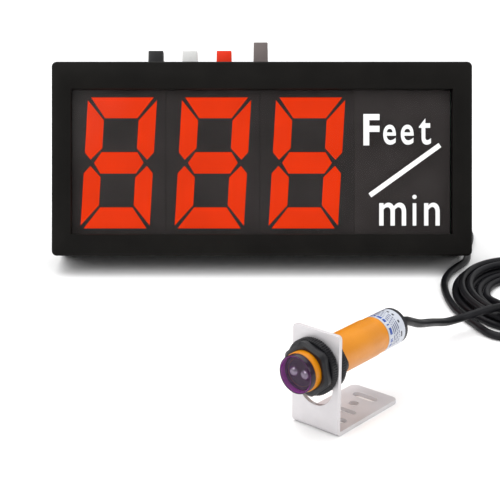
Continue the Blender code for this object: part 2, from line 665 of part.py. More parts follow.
def lens_cap(sensor):
    purple = look("lens_purple", (0.10, 0.015, 0.10), 0.1)
    back = BARREL_FRONT - GAP
    edge = LENS_FRONT + 0.0004
    profile = [(0.0, edge), (0.0079, edge), (0.0082, LENS_FRONT), (LENS_RADIUS - 0.0004, LENS_FRONT),
               (LENS_RADIUS, edge), (LENS_RADIUS, back), (0.0070, back),
               (0.0070, -0.0040), (0.0065, -0.0040), (0.0065, LENS_FRONT + 0.0016),
               (0.0, LENS_FRONT + 0.0016)]
    piece("lens_cap", turned(profile, steps=48), purple, sensor)


def optics(sensor):
    """The black insert behind the lens cap, the emitter and the receiver in its two wells."""
    insert = piece("optics_holder", rod(0.0062, -0.0106, -0.0030, steps=40), inner_black(), sensor)
    wells = []
    for side in (-1, 1):
        well = rod(0.0026, -0.0116, -0.0020, steps=20)
        bmesh.ops.translate(well, vec=(side * 0.0031, 0.0, 0.0), verts=well.verts)
        wells.append(well)
    cut(insert, gathered(wells), sensor)
    dome = arc((-0.0082, 0.0), 0.0022, 180, 90, 5)
    profile = [(radius, station) for station, radius in dome] + [(0.0022, -0.0036), (0.0, -0.0036)]
    profile[0] = (0.0, profile[0][1])
    tints = {"emitter_led": ((0.35, 0.32, 0.40), -1), "receiver_diode": ((0.10, 0.09, 0.12), 1)}
    for name, (tint, side) in tints.items():
        piece(name, turned(profile, steps=20), look(name, tint, 0.15), sensor, (side * 0.0031, 0.0, 0.0))


def sensor_board(sensor):
    piece("sensor_board", block((-0.0060, -0.0025, -0.0006), (0.0060, 0.0470, 0.0006)),
          board_green(), sensor)


def rear_end(sensor):
    """The black rear cap with its sensitivity screw, indicator and tapered strain relief."""
    face = BARREL_END + GAP
    outside = RELIEF_START - GAP
    profile = [(0.0, 0.0500), (0.0070, 0.0500), (0.0070, face), (REAR_RADIUS - 0.0001, face),
               (REAR_RADIUS - 0.0001, outside - 0.0003), (REAR_RADIUS - 0.0004, outside), (0.0, outside)]
    cap = piece("rear_cap", turned(profile, steps=48), nut_black(), sensor)
    wells = []
    for angle in (60, 240):
        well = rod(0.0016, 0.0548, outside + 0.001, steps=16)
        spot = (0.0060 * math.cos(math.radians(angle)), 0.0, 0.0060 * math.sin(math.radians(angle)))
        bmesh.ops.translate(well, vec=spot, verts=well.verts)
        wells.append(well)
    cut(cap, gathered(wells), sensor)
    spot = (0.0060 * math.cos(math.radians(60)), 0.0, 0.0060 * math.sin(math.radians(60)))
    brass = look("brass", (0.55, 0.40, 0.15), 0.35, 1.0)
    screw = piece("adjusting_screw", rod(0.0013, 0.0551, outside + 0.0004, steps=16), brass, sensor, spot)
    cut(screw, block((-0.0015, outside - 0.0002, -0.0002), (0.0015, outside + 0.001, 0.0002)), sensor, spot)
    spot = (-spot[0], 0.0, -spot[2])
    profile = [(0.0, 0.0551), (0.0013, 0.0551), (0.0013, outside), (0.0009, outside + 0.0008),
               (0.0, outside + 0.0010)]
    piece("indicator_led", turned(profile, steps=16), look("indicator_red", (0.6, 0.02, 0.02), 0.2),
          sensor, spot)
    profile = [(0.0, RELIEF_START), (0.0042, RELIEF_START), (0.0042, RELIEF_START + 0.0020),
               (0.0030, RELIEF_END - 0.0020), (0.0025, RELIEF_END), (0.0, RELIEF_END)]
    piece("strain_relief", turned(profile, steps=32), lead_black(), sensor)


# The lead


def smooth_points(route, spacing):
    """Points at an even spacing on a smooth curve through a route's own points."""
    ends = [2 * Vector(route[0]) - Vector(route[1]), 2 * Vector(route[-1]) - Vector(route[-2])]
    knots = [ends[0], *map(Vector, route), ends[1]]
    fine = []
    for before, start, end, after in zip(knots, knots[1:], knots[2:], knots[3:]):
        for step in range(12):
            t = step / 12
            fine.append(0.5 * (2 * start + (end - before) * t
                               + (2 * before - 5 * start + 4 * end - after) * t ** 2
                               + (3 * start - before - 3 * end + after) * t ** 3))
    fine.append(Vector(route[-1]))
    lengths = [0.0]
    for a, b in zip(fine, fine[1:]):
        lengths.append(lengths[-1] + (b - a).length)
    count = round(lengths[-1] / spacing)
    even, index = [fine[0]], 0
    for number in range(1, count):
        wanted = lengths[-1] * number / count
        while lengths[index + 1] < wanted:
            index += 1
        share = (wanted - lengths[index]) / (lengths[index + 1] - lengths[index])
        even.append(fine[index].lerp(fine[index + 1], share))
    return [*even, fine[-1]]


def lead_tube(name, route):
    line = bpy.data.curves.new(name, "CURVE")
    line.dimensions = "3D"
    line.bevel_depth = LEAD_RADIUS
    line.bevel_resolution = 2
    line.use_fill_caps = True
    points = smooth_points(route, LEAD_RADIUS * 5)
    spline = line.splines.new("POLY")
    spline.points.add(len(points) - 1)
    for target, point in zip(spline.points, points):
        target.co = (*point, 1.0)
    line.materials.append(lead_black())
    made = bpy.data.objects.new(name, line)
    bpy.context.scene.collection.objects.link(made)


def lead_coil():
    """The outer shape of the coiled lead: an oval ring with rounded upper edges."""
    inner, outer = Vector(COIL_INNER), Vector(COIL_OUTER)
    top, edge = COIL_HEIGHT, 0.0035
    section = [(0.0, 0.001), (0.06, 0.0), (0.94, 0.0), (1.0, 0.001), (1.0, top - edge),
               (0.78, top), (0.22, top), (0.0, top - edge)]
    count = 36
    shape = bmesh.new()
    rings = []
    for step in range(count):
        angle = 2 * math.pi * step / count
        ring = []
        for share, height in section:
            reach = inner.lerp(outer, share)
            ring.append(shape.verts.new((COIL_CENTRE[0] + reach.x * math.cos(angle),
                                         COIL_CENTRE[1] + reach.y * math.sin(angle), height)))
        rings.append(ring)
    for step in range(count):
        here, there = rings[step], rings[(step + 1) % count]
        for i in range(len(section)):
            j = (i + 1) % len(section)
            shape.faces.new((here[i], here[j], there[j], there[i]))
    bmesh.ops.recalc_face_normals(shape, faces=shape.faces)
    piece("lead_coil", shape, lead_black())


def main():
    clear_scene()
    display = frame("display_frame", DISPLAY_PLACE, (-LEAN, 0.0, 0.0))
    front_case(display)
    rear_cover(display)
    cover_screws(display)
    window(display)
    window_gasket(display)
    for number in (1, 2, 3):
        digit(number, display)
    display_board(display)
    main_board(display)
    standoffs(display)
    buttons(display)
    dc_inlet(display)
    cable_gland(display)
    prop_stand(display)
    holder = frame("bracket_frame", BRACKET_PLACE, (0.0, 0.0, -BRACKET_TURN))
    sensor = frame("sensor_frame", (0.0, 0.0, SENSOR_HEIGHT), parent=holder)
    sensor_bracket(holder)
    barrel(sensor)
    clamp_nut("front_nut", -GAP, -FRONT_NUT_LENGTH, sensor)
    clamp_nut("rear_nut", BRACKET_THICK + GAP, REAR_NUT_LENGTH, sensor)
    lens_cap(sensor)
    optics(sensor)
    sensor_board(sensor)
    rear_end(sensor)
    lead_tube("lead_from_sensor", LEAD_ROUTE)
    lead_tube("lead_to_display", TAIL_ROUTE)
    lead_coil()


main()
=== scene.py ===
# %% [markdown]
# # A line-speed display and its photoelectric sensor
# The set has two housings joined by one black lead: a slim box with three lit digits, which leans
# back on a folding prop, and a threaded sensor in a bent steel bracket. This file starts from the
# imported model, which fixes every size and every joint, and gives each visible piece its final
# shape and finish. Nothing here moves or resizes the model. New pieces are made in the model's
# own metres and stand in for the plain ones.

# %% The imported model
import json
import math

import bpy
from mathutils import Matrix, Vector


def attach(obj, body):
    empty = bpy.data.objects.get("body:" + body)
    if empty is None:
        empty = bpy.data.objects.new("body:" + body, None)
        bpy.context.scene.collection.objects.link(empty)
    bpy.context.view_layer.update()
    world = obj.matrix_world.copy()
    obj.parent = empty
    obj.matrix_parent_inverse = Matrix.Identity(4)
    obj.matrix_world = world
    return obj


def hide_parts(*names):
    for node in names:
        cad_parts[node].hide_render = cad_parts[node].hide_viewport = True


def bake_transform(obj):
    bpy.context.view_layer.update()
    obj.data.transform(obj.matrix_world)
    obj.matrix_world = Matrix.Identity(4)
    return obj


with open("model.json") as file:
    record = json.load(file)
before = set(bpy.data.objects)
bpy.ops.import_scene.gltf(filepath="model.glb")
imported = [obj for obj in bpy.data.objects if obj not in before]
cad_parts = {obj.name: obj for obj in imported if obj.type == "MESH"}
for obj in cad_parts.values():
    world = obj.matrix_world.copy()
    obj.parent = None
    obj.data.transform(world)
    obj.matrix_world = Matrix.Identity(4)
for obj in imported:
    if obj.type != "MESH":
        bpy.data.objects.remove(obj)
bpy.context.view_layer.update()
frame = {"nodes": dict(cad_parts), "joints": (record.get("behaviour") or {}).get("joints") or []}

scene = bpy.context.scene

# %% [markdown]
# Two of the assemblies don't stand square to the world. The display leans back and the sensor's
# bracket is turned on the table. It would be hard to model a leaning box directly, so every piece
# is made upright in a frame of its own, and one matrix then puts it in place. The joints of the
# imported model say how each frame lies: a button slides along the panel's own upright, and a nut
# turns about the sensor's own axis.

# %% The two assemblies' frames
CASE_WIDTH, CASE_HEIGHT, CASE_DEPTH = 0.2438, 0.1126, 0.0398
PIVOT_DEPTH, PIVOT_HEIGHT = 0.0446, 0.0840


def joint(name):
    return next(item for item in frame["joints"] if item["name"] == name)


def frame_matrix(origin, x_axis, y_axis, z_axis):
    turn = Matrix((x_axis, y_axis, z_axis)).transposed().to_4x4()
    return Matrix.Translation(origin) @ turn


panel_up = -Vector(joint("press_black")["axis"]).normalized()
panel_right = Vector((1, 0, 0))
panel_inward = panel_up.cross(panel_right)
pivot = Vector(joint("prop_fold")["pos_m"])
panel_origin = pivot - panel_inward * PIVOT_DEPTH - panel_up * PIVOT_HEIGHT
DISPLAY = frame_matrix(panel_origin, panel_right, panel_inward, panel_up)

sensor_axis = Vector(joint("front_nut_turn")["axis"]).normalized()
sensor_place = Vector(joint("front_nut_turn")["pos_m"])
upward = Vector((0, 0, 1))
SENSOR = frame_matrix(sensor_place, upward.cross(sensor_axis), upward, sensor_axis)
BEHIND_PANEL = Matrix.Rotation(-math.pi / 2, 4, "X")
lean = math.degrees(math.atan2(panel_up.y, panel_up.z))
print(f"the panel leans back by {lean:.1f} degrees")

# %% [markdown]
# A camera stands about seventy centimetres in front of the set and looks down on it by the same
# angle as the panel leans back, so the panel is seen square on while the sensor and its bracket
# are seen from above. A long lens keeps the box's sides almost parallel.

# %% Camera
CAMERA_PLACE, CAMERA_TILT = (-0.0069, -0.6497, 0.2600), math.radians(70.9)
LENS_MM, FILM_MM = 92.88, 36
bpy.ops.object.camera_add(location=CAMERA_PLACE, rotation=(CAMERA_TILT, 0, 0))
camera = bpy.context.object
camera.data.lens = LENS_MM
camera.data.sensor_width = FILM_MM
camera.data.clip_start = 0.01
scene.camera = camera
print(f"camera: a {camera.data.lens:.0f} mm lens at", tuple(round(n, 3) for n in camera.location))

# %% [markdown]
# ## Hands
# A few helpers do what hands do in the viewport. Each one first drops the selection, because an
# operator works on all that is selected. Faces and edges are then picked by where they are.

# %% Selecting
def start():
    if bpy.context.object and bpy.context.object.mode != "OBJECT":
        bpy.ops.object.mode_set(mode="OBJECT")
    bpy.ops.object.select_all(action="DESELECT")


def take(piece):
    start()
    piece.select_set(True)
    bpy.context.view_layer.objects.active = piece


def pick_edges(piece, wanted):
    """Opens a piece in edit mode with the edges selected whose two ends pass a test."""
    take(piece)
    bpy.ops.object.mode_set(mode="EDIT")
    bpy.ops.mesh.select_mode(type="EDGE")
    bpy.ops.mesh.select_all(action="DESELECT")
    bpy.ops.object.mode_set(mode="OBJECT")
    points = piece.data.vertices
    for edge in piece.data.edges:
        edge.select = wanted(points[edge.vertices[0]].co, points[edge.vertices[1]].co)
    bpy.ops.object.mode_set(mode="EDIT")


def pick_faces(piece, wanted):
    """The same for faces, tested by their centre and normal."""
    take(piece)
    bpy.ops.object.mode_set(mode="EDIT")
    bpy.ops.mesh.select_mode(type="FACE")
    bpy.ops.mesh.select_all(action="DESELECT")
    bpy.ops.object.mode_set(mode="OBJECT")
    for face in piece.data.polygons:
        face.select = wanted(face.center, face.normal)
    bpy.ops.object.mode_set(mode="EDIT")


def pick_points(piece, wanted):
    take(piece)
    bpy.ops.object.mode_set(mode="EDIT")
    bpy.ops.mesh.select_mode(type="VERT")
    bpy.ops.mesh.select_all(action="DESELECT")
    bpy.ops.object.mode_set(mode="OBJECT")
    for point in piece.data.vertices:
        point.select = wanted(point.co)
    bpy.ops.object.mode_set(mode="EDIT")


def done():
    bpy.ops.object.mode_set(mode="OBJECT")


# %% Shaping
def block(name, low, high):
    """A box between two corners."""
    start()
    low, high = Vector(low), Vector(high)
    bpy.ops.mesh.primitive_cube_add(size=1, location=(low + high) / 2)
    piece = bpy.context.object
    piece.name = name
    piece.scale = high - low
    bpy.ops.object.transform_apply(location=True, rotation=True, scale=True)
    return piece


def turned(name, profile, sides=96, hollow=False, first_angle=0.0):
    """A round piece about Z. One circle is extruded and scaled through (radius, height) steps,
    and a hollow one is closed by a bridge from its last ring to its first."""
    start()
    radius, height = profile[0]
    fill = "NOTHING" if hollow else "NGON"
    bpy.ops.mesh.primitive_circle_add(vertices=sides, radius=radius, fill_type=fill,
                                      location=(0, 0, height), rotation=(0, 0, first_angle))
    piece = bpy.context.object
    piece.name = name
    bpy.ops.object.transform_apply(location=True, rotation=True, scale=True)
    bpy.ops.object.mode_set(mode="EDIT")
    bpy.ops.mesh.select_mode(type="VERT")
    bpy.ops.mesh.select_all(action="SELECT")
    for next_radius, next_height in profile[1:]:
        rise, grow = next_height - height, next_radius / radius
        bpy.ops.mesh.extrude_region_move(TRANSFORM_OT_translate={"value": (0, 0, rise)})
        bpy.ops.transform.resize(value=(grow, grow, 1), center_override=(0, 0, next_height))
        radius, height = next_radius, next_height
    if hollow:
        bpy.ops.mesh.select_all(action="DESELECT")
        bpy.ops.mesh.select_mode(type="EDGE")
        bpy.ops.mesh.select_non_manifold()
        bpy.ops.mesh.bridge_edge_loops()
    bpy.ops.mesh.select_all(action="SELECT")
    bpy.ops.mesh.normals_make_consistent(inside=False)
    done()
    return piece


def with_modifier(piece, kind, **settings):
    """Adds a modifier, sets it and applies it."""
    take(piece)
    step = piece.modifiers.new(kind.title(), kind)
    for setting, value in settings.items():
        setattr(step, setting, value)
    bpy.ops.object.modifier_apply(modifier=step.name)
    return piece


def softened(piece, width, steps=2, angle=32):
    """Rounds every edge that is sharper than an angle."""
    return with_modifier(piece, "BEVEL", width=width, segments=steps, limit_method="ANGLE",
                         angle_limit=math.radians(angle), miter_outer="MITER_ARC")


def carved(piece, cutter):
    with_modifier(piece, "BOOLEAN", operation="DIFFERENCE", solver="EXACT", object=cutter)
    bpy.data.objects.remove(cutter)
    return piece


def welded(piece, other):
    with_modifier(piece, "BOOLEAN", operation="UNION", solver="EXACT", object=other)
    bpy.data.objects.remove(other)
    return piece


def moved(piece, place):
    """Moves a piece's mesh. The object itself stays at the origin."""
    piece.data.transform(Matrix.Translation(place))
    return piece


def copy_of(piece, name):
    """A copy of a finished shape with its own mesh."""
    made = bpy.data.objects.new(name, piece.data.copy())
    scene.collection.objects.link(made)
    return made


def in_place(piece, placing, body, look, stands_for=(), angle=32):
    """Finishes a piece: smooth shading, its place in the world, its finish and its body."""
    take(piece)
    piece.data.transform(placing)
    bpy.ops.object.shade_smooth_by_angle(angle=math.radians(angle))
    piece.data.materials.clear()
    piece.data.materials.append(look)
    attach(piece, body)
    if stands_for:
        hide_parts(*stands_for)
    print(f"{piece.name}: {len(piece.data.polygons)} faces")
    return piece


# %% [markdown]
# ## Finishes
# Most pieces are moulded plastic. Real moulded plastic is never one flat value: the tool leaves a
# fine grain, the colour drifts a little, and handled places are shinier. One helper lays these
# three on a Principled shader from noise on Object coordinates, so each finish only states its
# tones, its gloss and the size of its grain. Numbers that are the same all over stay on the
# shader's own sockets.

# %% Noise on a shader
def new_finish(name):
    made = bpy.data.materials.new(name)
    made.use_nodes = True
    return made, made.node_tree.links, made.node_tree.nodes["Principled BSDF"]


def noise_field(made, scale, detail=3.0, stretch=(1, 1, 1), turn=(0, 0, 0)):
    """A noise texture on Object coordinates. Its scale is in cells per metre."""
    nodes, links = made.node_tree.nodes, made.node_tree.links
    where = nodes.new("ShaderNodeTexCoord")
    mapping = nodes.new("ShaderNodeMapping")
    mapping.inputs["Scale"].default_value = stretch
    mapping.inputs["Rotation"].default_value = turn
    texture = nodes.new("ShaderNodeTexNoise")
    texture.inputs["Scale"].default_value = scale
    texture.inputs["Detail"].default_value = detail
    links.new(where.outputs["Object"], mapping.inputs["Vector"])
    links.new(mapping.outputs["Vector"], texture.inputs["Vector"])
    return texture.outputs["Fac"]


def spread(made, field, low, high):
    """Turns a noise field, which hardly leaves the range 0.3 to 0.7, into a number between two
    values."""
    node = made.node_tree.nodes.new("ShaderNodeMapRange")
    node.inputs["From Min"].default_value = 0.3
    node.inputs["From Max"].default_value = 0.7
    node.inputs["To Min"].default_value = low
    node.inputs["To Max"].default_value = high
    made.node_tree.links.new(field, node.inputs["Value"])
    return node.outputs["Result"]


def tones(made, field, stops):
    """Turns a field into a colour, through (position, colour) stops."""
    node = made.node_tree.nodes.new("ShaderNodeValToRGB")
    ramp = node.color_ramp
    while len(ramp.elements) < len(stops):
        ramp.elements.new(0.5)
    for element, (position, colour) in zip(ramp.elements, stops):
        element.position = position
        element.color = (*colour, 1)
    made.node_tree.links.new(field, node.inputs["Fac"])
    return node.outputs["Color"]


def relief(made, shader, field, depth, strength=1.0):
    bump = made.node_tree.nodes.new("ShaderNodeBump")
    bump.inputs["Distance"].default_value = depth
    bump.inputs["Strength"].default_value = strength
    made.node_tree.links.new(field, bump.inputs["Height"])
    made.node_tree.links.new(bump.outputs["Normal"], shader.inputs["Normal"])


def moulded(name, dark, light, gloss, grain=2600, depth=0.00003, specular=0.4, coat=0.0):
    """Moulded plastic: two tones, a roughness range and a grain."""
    made, links, shader = new_finish(name)
    drift = noise_field(made, 45, 4)
    links.new(tones(made, drift, [(0.35, dark), (0.65, light)]), shader.inputs["Base Color"])
    handled = noise_field(made, 110, 5)
    links.new(spread(made, handled, *gloss), shader.inputs["Roughness"])
    shader.inputs["Specular IOR Level"].default_value = specular
    shader.inputs["Coat Weight"].default_value = coat
    shader.inputs["Coat Roughness"].default_value = 0.15
    relief(made, shader, noise_field(made, grain, 2), depth)
    return made


# %% Plastics, rubber and print
case_black = moulded("case_black", (0.0040, 0.0036, 0.0031), (0.0062, 0.0056, 0.0048),
                     (0.42, 0.56), specular=0.10)
inner_black = moulded("inner_black", (0.012, 0.012, 0.013), (0.025, 0.025, 0.027), (0.5, 0.65))
module_grey = moulded("module_grey", (0.034, 0.030, 0.029), (0.046, 0.040, 0.039), (0.5, 0.7),
                      specular=0.12)
panel_grey = moulded("panel_grey", (0.050, 0.043, 0.042), (0.062, 0.054, 0.053), (0.5, 0.7),
                     specular=0.1)
nut_black = moulded("nut_black", (0.006, 0.006, 0.008), (0.012, 0.012, 0.015), (0.26, 0.40),
                    grain=1800, specular=0.35)
key_black = moulded("key_black", (0.008, 0.008, 0.009), (0.014, 0.014, 0.015), (0.25, 0.35))
key_white = moulded("key_white", (0.62, 0.62, 0.61), (0.70, 0.70, 0.69), (0.25, 0.35))
key_red = moulded("key_red", (0.70, 0.022, 0.0010), (0.80, 0.030, 0.0020), (0.30, 0.40),
                  specular=0.25)
key_grey = moulded("key_grey", (0.14, 0.115, 0.110), (0.18, 0.150, 0.145), (0.32, 0.45))
barrel_orange = moulded("barrel_orange", (0.60, 0.205, 0.002), (0.68, 0.240, 0.004),
                        (0.28, 0.38), grain=900, depth=0.00004, specular=0.35)
soft_rubber = moulded("soft_rubber", (0.012, 0.012, 0.012), (0.024, 0.023, 0.022), (0.75, 0.9),
                      grain=1500, depth=0.00006, specular=0.2)
white_ink = moulded("white_ink", (0.84, 0.84, 0.84), (0.90, 0.90, 0.90), (0.4, 0.5))
lead_jacket = moulded("lead_jacket", (0.003, 0.003, 0.004), (0.006, 0.006, 0.008), (0.34, 0.46),
                      grain=1400, depth=0.00004, specular=0.18)
board_green = moulded("board_green", (0.010, 0.110, 0.045), (0.020, 0.160, 0.070), (0.35, 0.5),
                      grain=700, depth=0.00005)
epoxy_red = moulded("epoxy_red", (0.50, 0.012, 0.010), (0.62, 0.020, 0.016), (0.12, 0.2), coat=0.5)
print("plastics:", len(bpy.data.materials))

# %% [markdown]
# The bracket is stainless sheet, rolled and then lightly brushed. Two noises do it: a fine one,
# pressed flat sixty to one, makes level brush lines in bump and gloss, and a broad one makes the
# faint clouds that rolled sheet has.

# %% Metals
def brushed(name, dark, light, rough, turn, stretch=(1, 1, 60), metallic=1.0):
    made, links, shader = new_finish(name)
    lines = noise_field(made, 60, 5, stretch=stretch, turn=turn)
    clouds = noise_field(made, 70, 3)
    links.new(tones(made, clouds, [(0.3, dark), (0.7, light)]), shader.inputs["Base Color"])
    links.new(spread(made, lines, *rough), shader.inputs["Roughness"])
    shader.inputs["Metallic"].default_value = metallic
    relief(made, shader, lines, 0.00001, 0.7)
    return made


bracket_turn = math.atan2(sensor_axis.x, sensor_axis.y)
sheet_steel = brushed("sheet_steel", (0.60, 0.580, 0.595), (0.68, 0.660, 0.675), (0.32, 0.46),
                      (0, 0, bracket_turn), metallic=0.35)
pin_steel = brushed("pin_steel", (0.50, 0.49, 0.48), (0.62, 0.61, 0.60), (0.2, 0.35), (0, 0, 0),
                    (60, 1, 1))
screw_steel = brushed("screw_steel", (0.06, 0.06, 0.065), (0.11, 0.11, 0.12), (0.3, 0.45),
                      (0, 0, 0))
dome_coating = brushed("dome_coating", (0.42, 0.36, 0.46), (0.50, 0.44, 0.54), (0.03, 0.05),
                       (0, 0, 0), (1, 1, 1), metallic=0.9)
turned_brass = brushed("turned_brass", (0.50, 0.34, 0.12), (0.62, 0.45, 0.18), (0.2, 0.35),
                       (0, 0, 0))
print(f"the bracket stands turned by {math.degrees(bracket_turn):.1f} degrees")

# %% [markdown]
# The digits are lit from behind: light guides of milky plastic that glow orange-red, not quite
# evenly. The smoked window in front of them is a thin tinted sheet. Its tint is given as a
# constant alpha, which lets the digits through and exports well, and its gloss carries the
# reflections. The sensor's lens cap is tinted in the same way.

# %% Light and glass
def glowing(name, colour, low, high):
    made, links, shader = new_finish(name)
    shader.inputs["Base Color"].default_value = (*(0.12 * part for part in colour), 1)
    shader.inputs["Roughness"].default_value = 0.6
    shader.inputs["Specular IOR Level"].default_value = 0.1
    shader.inputs["Emission Color"].default_value = (*colour, 1)
    links.new(spread(made, noise_field(made, 55, 2), low, high), shader.inputs["Emission Strength"])
    relief(made, shader, noise_field(made, 1500, 2), 0.00003)
    return made


lit_bars = glowing("lit_bars", (0.93, 0.040, 0.0001), 0.98, 1.10)


def tinted(name, colour, alpha, roughness, specular=0.5):
    made, links, shader = new_finish(name)
    field = noise_field(made, 60, 3)
    darker = tuple(0.8 * part for part in colour)
    links.new(tones(made, field, [(0.35, darker), (0.65, colour)]), shader.inputs["Base Color"])
    links.new(spread(made, noise_field(made, 140, 4), roughness, roughness * 1.8),
              shader.inputs["Roughness"])
    shader.inputs["Alpha"].default_value = alpha
    shader.inputs["Specular IOR Level"].default_value = specular
    return made


smoked_window = tinted("smoked_window", (0.006, 0.005, 0.005), 0.14, 0.10, 0.20)
lens_filter = tinted("lens_filter", (0.050, 0.008, 0.055), 0.22, 0.04)
cup_purple = moulded("cup_purple", (0.012, 0.003, 0.013), (0.022, 0.005, 0.024), (0.12, 0.20),
                     specular=0.3)
# Painted glow: a bright magenta for the light that glows inside the lens cap's wall.
cup_painted_glow = moulded("cup_painted_glow", (0.34, 0.014, 0.36), (0.46, 0.022, 0.48), (0.15, 0.25))
lens_dark = moulded("lens_dark", (0.006, 0.003, 0.007), (0.012, 0.006, 0.013), (0.10, 0.18))
print("finishes made so far:", len(bpy.data.materials))

# %% [markdown]
# ## The lead
# One black round lead joins the two housings. It leaves the sensor through a tapered strain
# relief, sinks to the table, climbs over a loose coil, and ends in the gland behind the display.
# It is soft enough to lie where it is put but never kinks, so it is drawn as one smooth curve
# through listed points, and only the coil's turns are worked out: an upper layer that
# winds inwards, and a hair more than one diameter below it a lower layer that winds outwards.

# %% The lead's route
LEAD = 0.0042
LEAD_ROUTE = [
    (0.0644, -0.0896, 0.0309),
    (0.0668, -0.0866, 0.0298),
    (0.0702, -0.0814, 0.0270),
    (0.0750, -0.0735, 0.0230),
    (0.0833, -0.0576, 0.0170),
    (0.0925, -0.0428, 0.0112),
    (0.1005, -0.0335, 0.0092),
    (0.1070, -0.0300, 0.0098),
    (0.1125, -0.0282, 0.0110),
    (0.1180, -0.0260, 0.0116),
    (0.1240, -0.0232, 0.0116),
    (0.1320, -0.0202, 0.0115),
    (0.1400, -0.0180, 0.0114),
]
THROUGH_THE_HOLE = [
    (0.1454, -0.0130, 0.0098),
    (0.1482, -0.0050, 0.0064),
    (0.1492, 0.0040, 0.0034),
    (0.1492, 0.0140, 0.0022),
    (0.1490, 0.0240, 0.0030),
    (0.1492, 0.0330, 0.0056),
    (0.1512, 0.0420, 0.0088),
    (0.1562, 0.0490, 0.0105),
]
TAIL_ROUTE = [
    (0.0950, 0.1098, 0.0231),
    (0.0950, 0.1190, 0.0197),
    (0.0953, 0.1300, 0.0145),
    (0.0970, 0.1410, 0.0093),
    (0.1015, 0.1505, 0.0053),
    (0.1090, 0.1560, 0.0031),
    (0.1180, 0.1565, 0.0022),
    (0.1260, 0.1510, 0.0021),
    (0.1310, 0.1415, 0.0021),
    (0.1325, 0.1290, 0.0021),
    (0.1310, 0.1160, 0.0021),
    (0.1280, 0.1040, 0.0021),
    (0.1254, 0.0930, 0.0021),
    (0.1242, 0.0840, 0.0021),
    (0.1220, 0.0760, 0.0021),
    (0.1180, 0.0690, 0.0021),
    (0.1125, 0.0610, 0.0021),
    (0.1075, 0.0510, 0.0021),
    (0.1039, 0.0390, 0.0021),
    (0.1024, 0.0260, 0.0021),
    (0.1024, 0.0120, 0.0021),
    (0.1036, 0.0000, 0.0021),
    (0.1058, -0.0090, 0.0021),
    (0.1084, -0.0167, 0.0021),
    (0.1110, -0.0230, 0.0021),
    (0.1132, -0.0295, 0.0021),
    (0.1160, -0.0355, 0.0021),
    (0.1200, -0.0396, 0.0021),
    (0.1260, -0.0415, 0.0021),
    (0.1320, -0.0425, 0.0021),
    (0.1410, -0.0426, 0.0021),
]

# %% The coil's turns
COIL_X, COIL_Y = 0.1505, 0.0150
LOWER, UPPER, TOP = LEAD / 2, LEAD * 1.5 + 0.0001, LEAD * 2.5 + 0.0002
INNER_REACH, OUTER_REACH, LOWER_TURNS = 0.0261, 0.0430, 4
UPPER_REACH, UPPER_FIRST, UPPER_STEPS = 0.0409, -92, 48
LOWER_FIRST, POINT_ANGLE, POINTS_A_TURN = -900, 15, 24
GROWTH = [(0, 0.0), (90, 0.0002), (180, 0.0002), (270, 0.0015), (360, LEAD)]


def turn_point(degrees, reach, height):
    """A point on a turn. The coil is deeper than it is wide, more so on its outer turns."""
    depth = reach * 1.538 - 0.0096
    angle = math.radians(degrees)
    return (COIL_X + reach * math.cos(angle), COIL_Y + depth * math.sin(angle), height)


def lower_reach(turned_by):
    """How far the lower layer reaches, so many degrees on from its start. Each turn lies against
    the one before it and steps outwards on its last quarter."""
    turns, rest = divmod(turned_by, 360)
    for (first, low), (last, high) in zip(GROWTH, GROWTH[1:]):
        if rest <= last:
            step = low + (high - low) * (rest - first) / (last - first)
            break
    return min(INNER_REACH + LEAD * turns + step, OUTER_REACH)


def coil_route():
    """From the top of the coil, clockwise: inwards on the upper layer, outwards on the lower."""
    top = [(66, 0.0315), (45, 0.0320), (22, 0.0328), (0, 0.0336), (-22, 0.0350), (-45, 0.0370)]
    points = [turn_point(angle, reach, TOP) for angle, reach in top]
    points += [turn_point(-62, 0.0391, TOP - 0.0002), turn_point(-78, 0.0403, TOP - 0.0011)]
    for step in range(UPPER_STEPS + 1):
        reach = UPPER_REACH - LEAD * step / POINTS_A_TURN
        height = UPPER + 0.001 * max(0, 2 - step)
        points.append(turn_point(UPPER_FIRST - POINT_ANGLE * step, reach, height))
    down = [(0.0316, UPPER), (0.0300, UPPER), (0.0284, 0.0058), (0.0270, 0.0047), (0.0262, 0.0032)]
    for step, (reach, height) in enumerate(down, UPPER_STEPS + 1):
        points.append(turn_point(UPPER_FIRST - POINT_ANGLE * step, reach, height))
    for turned_by in range(0, 360 * LOWER_TURNS + 271, POINT_ANGLE):
        points.append(turn_point(LOWER_FIRST - turned_by, lower_reach(turned_by), LOWER))
    return points


coil = coil_route()
print(f"the coil has {len(coil)} points and stands {1000 * (TOP + LEAD / 2):.1f} mm high")


STEPS_A_SPAN, LEAD_SPACING, LEAD_EXIT = 16, 0.0024, 0.0650


def smooth_points(route, spacing):
    """Points at an even spacing on a smooth curve through a route's own points."""
    ends = [2 * Vector(route[0]) - Vector(route[1]), 2 * Vector(route[-1]) - Vector(route[-2])]
    knots = [ends[0], *map(Vector, route), ends[1]]
    fine = []
    for before, first, second, after in zip(knots, knots[1:], knots[2:], knots[3:]):
        for step in range(STEPS_A_SPAN):
            t = step / STEPS_A_SPAN
            fine.append(0.5 * (2 * first + (second - before) * t
                               + (2 * before - 5 * first + 4 * second - after) * t ** 2
                               + (3 * first - before - 3 * second + after) * t ** 3))
    fine.append(Vector(route[-1]))
    lengths = [0.0]
    for a, b in zip(fine, fine[1:]):
        lengths.append(lengths[-1] + (b - a).length)
    count = round(lengths[-1] / spacing)
    even, index = [fine[0]], 0
    for number in range(1, count):
        wanted = lengths[-1] * number / count
        while lengths[index + 1] < wanted:
            index += 1
        share = (wanted - lengths[index]) / (lengths[index + 1] - lengths[index])
        even.append(fine[index].lerp(fine[index + 1], share))
    return [*even, fine[-1]], lengths[-1]


